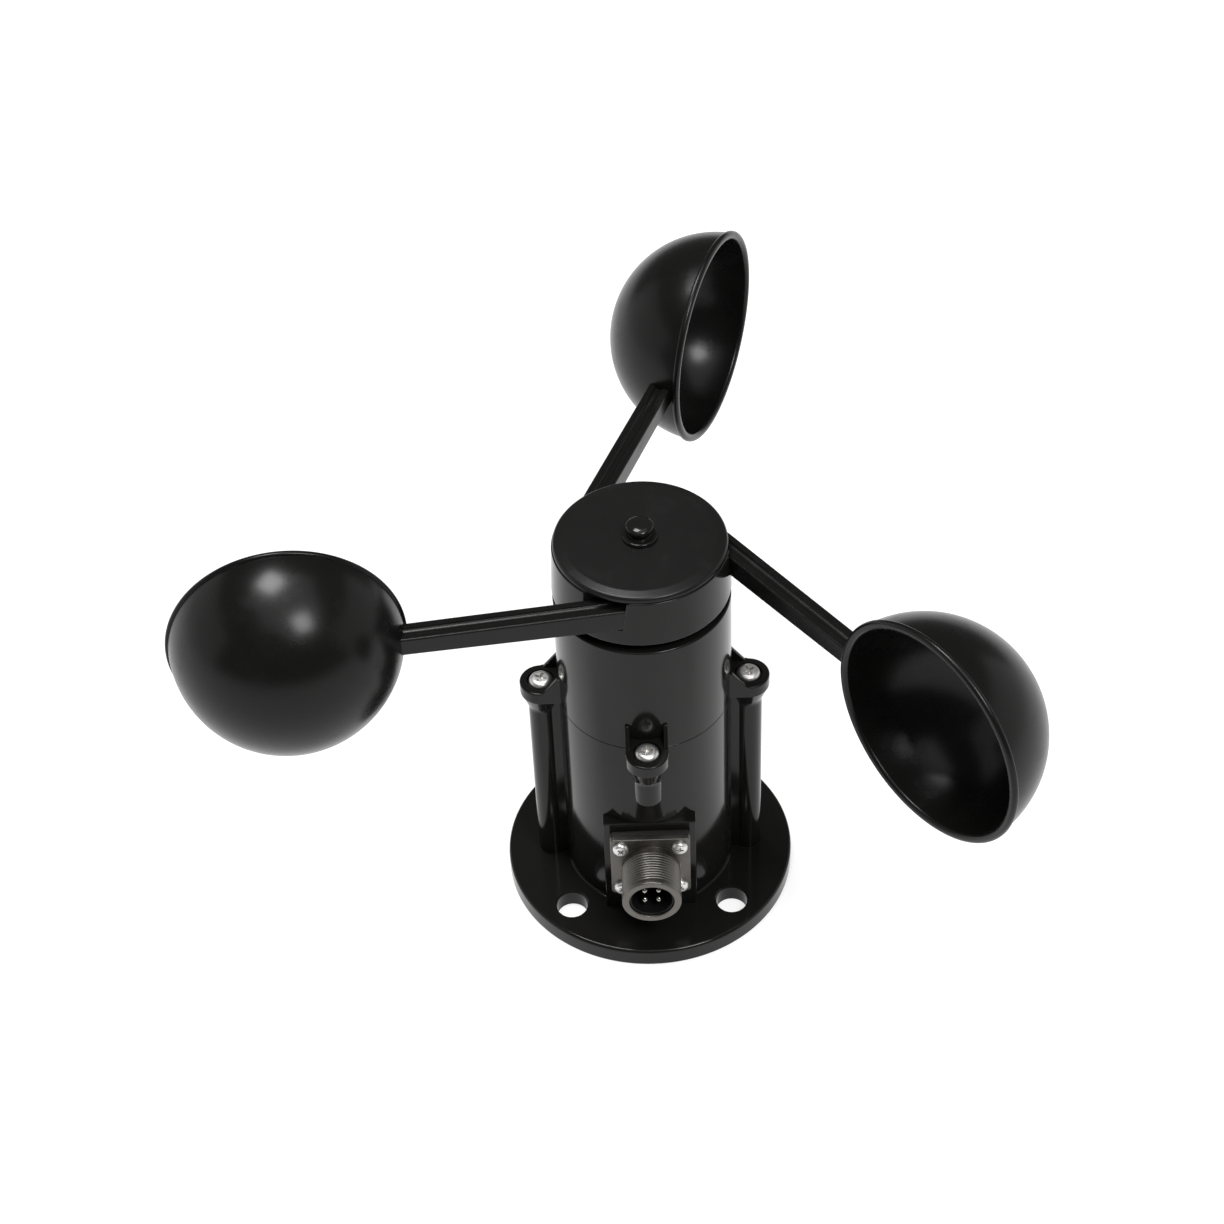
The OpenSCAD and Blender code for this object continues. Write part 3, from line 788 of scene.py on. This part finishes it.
class ANEMOMETER_OT_screws(bpy.types.Operator):
    """Build the housing screws and the connector screws"""

    bl_idname = "anemometer.screws"
    bl_label = "Screws"

    def execute(self, context):
        h = context.scene.anemometer_housing
        c = context.scene.anemometer_connector
        seat = SEAM + h.ear_height - SCREW_SEAT
        large = pan_screw("large_screw", 2.6 * MM, 1.9 * MM, 1.45 * MM, 10 * MM)
        places = [corner(k) @ Matrix.Translation((h.post_distance, 0, seat)) for k in range(4)]
        show(screw_set("clamp_screws", large, places), "housing_screws", "housing", "screw_steel")
        small = pan_screw("small_screw", 1.75 * MM, 1.3 * MM, 0.95 * MM, 6 * MM)
        face = GASKET_FACE + c.flange_thickness
        places = [facing_connector() @ place for place in grid_places(c.screw_spacing, face)]
        show(screw_set("flange_screws", small, places), "connector_screws", "housing", "screw_steel")
        return {"FINISHED"}


# ---- the connector ----


def square_plate(low, high, edge):
    """A square plate the size of the connector's flange, from low to high along its axis."""
    side = CONNECTOR_SIDE / 2
    return placed(prism(box_outline(-side, side, -side, side, 0.9 * MM), low, high, edge), facing_connector())


class ANEMOMETER_OT_gasket(bpy.types.Operator):
    """Build the rubber gasket behind the connector's flange"""

    bl_idname = "anemometer.gasket"
    bl_label = "Connector gasket"

    def execute(self, context):
        piece = as_object("flange_gasket", square_plate(GASKET_BACK, GASKET_FACE, 0.18 * MM))
        combined(piece, "DIFFERENCE", [placed(rod(TAIL_BORE, 10 * MM, 30 * MM), facing_connector())])
        show(piece, "connector_gasket", "housing", "seal_rubber")
        return {"FINISHED"}


class ANEMOMETER_OT_shell(bpy.types.Operator):
    """Build the connector's square flange and threaded barrel"""

    bl_idname = "anemometer.shell"
    bl_label = "Connector shell"

    def execute(self, context):
        c = context.scene.anemometer_connector
        face = GASKET_FACE + c.flange_thickness
        thread_start = face + 1.4 * MM
        thread_end = CONNECTOR_MOUTH - 0.9 * MM
        rows = math.ceil((thread_end - thread_start) / (c.thread_pitch / 8))
        heights = [thread_start + (thread_end - thread_start) * k / rows for k in range(rows + 1)]
        bore, barrel = c.bore_radius, c.barrel_radius
        tail = 6 * MM
        outline = [(bore, INSERT_BACK, 0), (tail, INSERT_BACK, 0), (tail, GASKET_FACE + BURIED, 0)]
        outline += [(barrel, GASKET_FACE + BURIED, 0)] + [(barrel, height, 0) for height in heights]
        outline += [(barrel, CONNECTOR_MOUTH, 0.3 * MM), (bore, CONNECTOR_MOUTH, 0.25 * MM)]

        def cut_thread(radius, height, angle):
            if radius < barrel - AXIS or not thread_start < height < thread_end:
                return radius
            ease = min(1, (height - thread_start) / c.thread_pitch, (thread_end - height) / c.thread_pitch)
            turns = height / c.thread_pitch - angle / math.tau
            return radius - c.thread_depth * ease * (0.5 - 0.5 * math.cos(math.tau * turns))

        piece = as_object("connector_body", square_plate(GASKET_FACE, face, 0.2 * MM))
        barrel_solid = turned(rounded(outline), 96, cut_thread)
        combined(piece, "UNION", [placed(barrel_solid, facing_connector())])
        combined(piece, "DIFFERENCE", [placed(rod(bore, 10 * MM, 40 * MM, 96), facing_connector())])
        show(piece, "connector_shell", "housing", "connector_metal")
        return {"FINISHED"}


class ANEMOMETER_OT_insert(bpy.types.Operator):
    """Build the insulator that holds the pins and lines the socket"""

    bl_idname = "anemometer.insert"
    bl_label = "Connector insert"

    def execute(self, context):
        c = context.scene.anemometer_connector
        rim = c.bore_radius - 0.02 * MM
        skirt = c.skirt_radius
        outline = [(0, INSERT_BACK, 0), (rim, INSERT_BACK, 0), (rim, INSERT_FRONT, 0.12 * MM)]
        outline += [(skirt, INSERT_FRONT, 0.15 * MM), (skirt, c.insert_face, 0.4 * MM), (0, c.insert_face, 0)]
        disc = placed(turned(rounded(outline), 96), facing_connector())
        show(as_object("pin_holder", disc), "connector_insert", "housing", "insulator")
        return {"FINISHED"}


class ANEMOMETER_OT_pins(bpy.types.Operator):
    """Build the four contact pins"""

    bl_idname = "anemometer.pins"
    bl_label = "Connector pins"

    def execute(self, context):
        c = context.scene.anemometer_connector
        tip = 0.9 * MM
        pin = [(0, PIN_TAIL), (c.pin_radius, PIN_TAIL)]
        pin += oval(0, PIN_TIP - tip, c.pin_radius, tip, 0, 90, 8)
        places = grid_places(c.pin_spacing, 0)
        pins = [placed(turned(pin, 32), facing_connector() @ place) for place in places]
        show(gathered("contact_pins", pins), "connector_pins", "housing", slot_of("connector_pins"))
        return {"FINISHED"}


# ---- the rotor ----

CAP_BOTTOM = HUB_TOP - 1.7 * MM
ARM_START = -1 * MM  # where each arm begins, along itself
ARM_GAP = 0.05 * MM  # play between an arm and its slot


def arm_place(r, index):
    """The frame of one arm, with +X running out along it."""
    return Matrix.Rotation(r.first_arm + math.radians(120 * index), 4, "Z")


def at_arms(r, outline, low, high):
    """A prism with that outline at the root of each arm."""
    return [placed(prism(outline, low, high), arm_place(r, k)) for k in range(3)]


class ANEMOMETER_OT_hub(bpy.types.Operator):
    """Build the hub's drum with its three slots"""

    bl_idname = "anemometer.hub"
    bl_label = "Hub"

    def execute(self, context):
        r = context.scene.anemometer_rotor
        boss_bottom = HUB_BOTTOM + 0.5 * MM
        plate = HUB_BOTTOM + 2.4 * MM
        core_top = 96 * MM
        shaft, boss, core_in, core_out = 2.02 * MM, 3.2 * MM, 5.5 * MM, 11.5 * MM
        skirt = r.hub_foot_radius - 2.3 * MM
        outline = [(shaft, boss_bottom, 0), (boss, boss_bottom, 0), (boss, plate, 0), (core_in, plate, 0)]
        outline += [(core_in, core_top, 0), (core_out, core_top, 0), (core_out, plate, 0), (skirt, plate, 0)]
        outline += [(skirt, HUB_BOTTOM, 0.3 * MM), (r.hub_foot_radius, HUB_BOTTOM, 0.45 * MM)]
        outline += [(r.hub_rim_radius, CAP_BOTTOM, 0.25 * MM), (shaft, CAP_BOTTOM, 0)]
        piece = as_object("drum", turned(rounded(outline), context.scene.anemometer_studio.segments))
        half = r.arm_width / 2 + ARM_GAP
        slot = box_outline(ARM_START - ARM_GAP, 40 * MM, r.arm_offset - half, r.arm_offset + half)
        combined(piece, "DIFFERENCE", at_arms(r, slot, r.arm_root, HUB_TOP + BURIED))
        show(piece, "rotor_hub", "rotor", "gloss_plastic")
        return {"FINISHED"}


class ANEMOMETER_OT_cap(bpy.types.Operator):
    """Build the hub's cap, with the lugs that press on the arms"""

    bl_idname = "anemometer.cap"
    bl_label = "Hub cap"

    def execute(self, context):
        r = context.scene.anemometer_rotor
        stud = 1.53 * MM
        lug_end = 3.4 * MM
        outline = [(stud, CAP_BOTTOM, 0), (r.cap_radius, CAP_BOTTOM, 0.25 * MM)]
        outline += [(r.cap_radius, HUB_TOP - 0.5 * MM, 0.9 * MM), (r.cap_flat_radius, HUB_TOP, 2 * MM)]
        outline += [(stud, HUB_TOP, 0)]
        piece = as_object("drum_cap", turned(rounded(outline, 8), context.scene.anemometer_studio.segments))
        half = r.arm_width / 2 - ARM_GAP
        lug = box_outline(ARM_START, lug_end, r.arm_offset - half, r.arm_offset + half)
        combined(piece, "UNION", at_arms(r, lug, r.arm_top, HUB_TOP - 0.85 * MM))
        show(piece, "hub_cap", "rotor", "satin_plastic", sharp=60)
        return {"FINISHED"}


class ANEMOMETER_OT_nut(bpy.types.Operator):
    """Build the domed nut on the cap"""

    bl_idname = "anemometer.nut"
    bl_label = "Cap nut"

    def execute(self, context):
        dome_base = NUT_TOP - 1 * MM
        dome_foot = NUT_TOP - 1.6 * MM
        collar_top = HUB_TOP + 0.9 * MM
        hole_top = NUT_TOP - 1.4 * MM
        hole, neck, dome, collar = 1.5 * MM, 2.3 * MM, 2.95 * MM, 3.7 * MM
        outline = [(hole, HUB_TOP, 0), (collar, HUB_TOP, 0), (collar, collar_top, 0.35 * MM)]
        outline += [(neck, collar_top, 0.15 * MM), (neck, dome_foot, 0), (dome, dome_foot, 0.2 * MM)]
        outline += plain(oval(0, dome_base, dome, 1 * MM, 0, 90))
        outline += [(0, hole_top, 0), (hole, hole_top, 0)]
        piece = as_object("dome_nut", turned(rounded(outline), 96))
        show(piece, "cap_nut", "rotor", "satin_plastic", "gloss_plastic")
        return {"FINISHED"}


def arm_section(r, x, underside, groove):
    """One ring of an arm at x: softened corners and a groove along the top."""
    half, soft = r.arm_width / 2, 0.4 * MM
    width, depth = 1.04 * MM, 0.6 * MM * groove
    ring = box_outline(-half, half, underside, r.arm_top, soft)
    split = len(ring) * 3 // 4
    angles = [math.pi * k / 8 for k in range(9)]
    channel = [(width * math.cos(a), r.arm_top - depth * math.sin(a)) for a in angles]
    ring = ring[:split] + channel + ring[split:]
    return [(x, r.arm_offset + y, z) for y, z in ring]


def cup_place(r, index):
    """The frame of one cup, with +Z through its dome."""
    centre = Matrix.Translation((r.cup_reach, r.cup_offset, CUP_HEIGHT))
    return arm_place(r, index) @ centre @ Matrix.Rotation(-math.pi / 2, 4, "X")


class ANEMOMETER_OT_arms(bpy.types.Operator):
    """Build the three grooved arms"""

    bl_idname = "anemometer.arms"
    bl_label = "Arms"

    def execute(self, context):
        r = context.scene.anemometer_rotor
        groove_start = 6.5 * MM
        groove_full = groove_start + 0.8 * MM
        level = r.cup_reach - r.cup_radius  # from here out, the underside runs level
        end = level + 4 * MM
        stations = ((ARM_START, 0), (groove_start, 0), (groove_full, 1), (level, 1), (end, 1))
        rings = []
        for x, groove in stations:
            rise = min(1, (x - ARM_START) / (level - ARM_START))
            rings.append(arm_section(r, x, r.arm_root + (r.arm_tip - r.arm_root) * rise, groove))
        bite = 0.3 * MM
        for k in range(3):
            piece = as_object(f"arm_{k + 1}_moulded", placed(lofted(rings), arm_place(r, k)))
            ball = oval(0, 0, r.cup_radius - bite, r.cup_radius - bite, -90, 90, 48)
            combined(piece, "DIFFERENCE", [placed(turned(ball, 96), cup_place(r, k))])
            show(piece, f"arm_{k + 1}", "rotor", "gloss_plastic", "rotor_plastic")
        return {"FINISHED"}


class ANEMOMETER_OT_cups(bpy.types.Operator):
    """Build the three cups, each with a bead round its mouth"""

    bl_idname = "anemometer.cups"
    bl_label = "Cups"

    def execute(self, context):
        r = context.scene.anemometer_rotor
        inner = r.cup_radius - r.cup_wall
        foot = math.degrees(math.asin(r.bead_width / r.cup_radius))
        outline = plain(oval(0, 0, r.cup_radius, r.cup_radius, 90, foot, 40))
        outline += [(r.bead_radius, r.bead_width, 0.5 * MM), (r.bead_radius, 0, 0.8 * MM)]
        outline += [(inner, 0, 0.9 * MM)]
        outline += plain(oval(0, 0, inner, inner, 2, 90, 40))
        for k in range(3):
            solid = turned(rounded(outline, 6), context.scene.anemometer_studio.segments)
            piece = as_object(f"cup_{k + 1}_moulded", placed(solid, cup_place(r, k)))
            show(piece, f"cup_{k + 1}", "rotor", "gloss_plastic", "rotor_plastic", sharp=60)
        return {"FINISHED"}


# ---- finishes and studio ----


class ANEMOMETER_OT_finishes(bpy.types.Operator):
    """Make the finishes and give each CAD node its own"""

    bl_idname = "anemometer.finishes"
    bl_label = "Finishes"

    def execute(self, context):
        finishes = build_finishes(context.scene.anemometer_finish)
        for name, node in frame["nodes"].items():
            node.data.materials.clear()
            node.data.materials.append(finishes[slot_of(name)])
        return {"FINISHED"}


def softbox(name, toward, distance, wide, high, strength):
    """A rectangular light that shines from a direction onto the object."""
    light = bpy.data.lights.new(name, "AREA")
    light.shape = "RECTANGLE"
    light.size = wide
    light.size_y = high
    light.energy = strength * math.pi * wide * high
    lamp = bpy.data.objects.new(name, light)
    direction = Vector(toward).normalized()
    lamp.location = direction * distance + Vector((0, 0, SEAM))
    lamp.rotation_mode = "QUATERNION"
    lamp.rotation_quaternion = direction.to_track_quat("Z", "Y")
    bpy.context.scene.collection.objects.link(lamp)


class ANEMOMETER_OT_studio(bpy.types.Operator):
    """Build the floor, the light and the camera"""

    bl_idname = "anemometer.studio"
    bl_label = "Studio"

    def execute(self, context):
        s = context.scene.anemometer_studio
        self.floor(s)
        self.light(context, s)
        self.camera(context, s)
        return {"FINISHED"}

    def floor(self, s):
        half = 4.0
        drop = 0.01 * MM  # keeps the floor clear of the flange's underside
        solid = bmesh.new()
        corners = [(-half, -half), (half, -half), (half, half), (-half, half)]
        solid.faces.new([solid.verts.new((x, y, -drop)) for x, y in corners])
        floor = as_object("studio_floor", solid)
        g = Graph("studio_floor")
        shade = (s.floor_shade, s.floor_shade, s.floor_shade)
        base = g.mix(g.noise(3, 2), shade, tinted(shade, 0.985))
        glow = {"Emission Color": (1, 1, 1, 1), "Emission Strength": s.floor_glow}
        floor.data.materials.append(g.finish(base, 0.8, g.bump(g.noise(500, 2) * 0.02, MM), **glow))

    def light(self, context, s):
        softbox("overhead_softbox", (-0.174, 0.141, 0.974), 1.3, 0.42, 0.42, s.softbox)
        softbox("front_softbox", (0.322, -0.471, 0.819), 1.3, 0.36, 0.36, 0.85 * s.softbox)
        softbox("scrim", (0.07, -0.17, 0.98), 1.45, 1.5, 1.2, s.scrim)
        softbox("left_panel", (-0.95, 0.1, 0.3), 1.0, 1.3, 0.6, s.panel)
        softbox("right_panel", (0.95, 0.1, 0.3), 1.0, 1.3, 0.6, s.panel)
        world = bpy.data.worlds.new("dim_room")
        world.use_nodes = True
        background = world.node_tree.nodes["Background"]
        background.inputs["Color"].default_value = (1, 1, 1, 1)
        background.inputs["Strength"].default_value = s.surround
        context.scene.world = world
        context.scene.view_settings.view_transform = "Standard"

    def camera(self, context, s):
        data = bpy.data.cameras.new("camera")
        data.lens = s.lens
        data.sensor_width = 36
        data.clip_start = 0.01
        data.clip_end = 50
        camera = bpy.data.objects.new("camera", data)
        a, e = s.azimuth, s.elevation
        back = Vector((math.sin(a) * math.cos(e), -math.cos(a) * math.cos(e), math.sin(e)))
        camera.location = Vector(s.aim) + back * s.distance
        camera.rotation_mode = "QUATERNION"
        upright = (-back).to_track_quat("-Z", "Y")
        camera.rotation_quaternion = upright @ Matrix.Rotation(s.roll, 3, "Z").to_quaternion()
        context.scene.collection.objects.link(camera)
        context.scene.camera = camera


# ---- the add-on ----

SETTINGS = {
    "anemometer_housing": HousingSettings,
    "anemometer_rotor": RotorSettings,
    "anemometer_connector": ConnectorSettings,
    "anemometer_finish": FinishSettings,
    "anemometer_studio": StudioSettings,
}

OPERATORS = (
    ANEMOMETER_OT_finishes,
    ANEMOMETER_OT_studio,
    ANEMOMETER_OT_lower_housing,
    ANEMOMETER_OT_upper_housing,
    ANEMOMETER_OT_screws,
    ANEMOMETER_OT_gasket,
    ANEMOMETER_OT_shell,
    ANEMOMETER_OT_insert,
    ANEMOMETER_OT_pins,
    ANEMOMETER_OT_hub,
    ANEMOMETER_OT_cap,
    ANEMOMETER_OT_nut,
    ANEMOMETER_OT_arms,
    ANEMOMETER_OT_cups,
)


class ANEMOMETER_PT_panel(bpy.types.Panel):
    """Lists the settings and the pieces"""

    bl_idname = "ANEMOMETER_PT_panel"
    bl_label = "Cup anemometer"
    bl_space_type = "VIEW_3D"
    bl_region_type = "UI"
    bl_category = "Anemometer"

    def draw(self, context):
        for operator in OPERATORS:
            self.layout.operator(operator.bl_idname)
        for name, group in SETTINGS.items():
            box = self.layout.box()
            for setting in group.__annotations__:
                box.prop(getattr(context.scene, name), setting)


CLASSES = (*SETTINGS.values(), *OPERATORS, ANEMOMETER_PT_panel)


def register():
    for made in CLASSES:
        bpy.utils.register_class(made)
    for name, group in SETTINGS.items():
        setattr(bpy.types.Scene, name, PointerProperty(type=group))


def unregister():
    for name in SETTINGS:
        delattr(bpy.types.Scene, name)
    for made in reversed(CLASSES):
        bpy.utils.unregister_class(made)


def main():
    """Builds everything in order."""
    register()
    for operator in OPERATORS:
        group, name = operator.bl_idname.split(".")
        getattr(getattr(bpy.ops, group), name)()


if __name__ == "__main__":
    main()
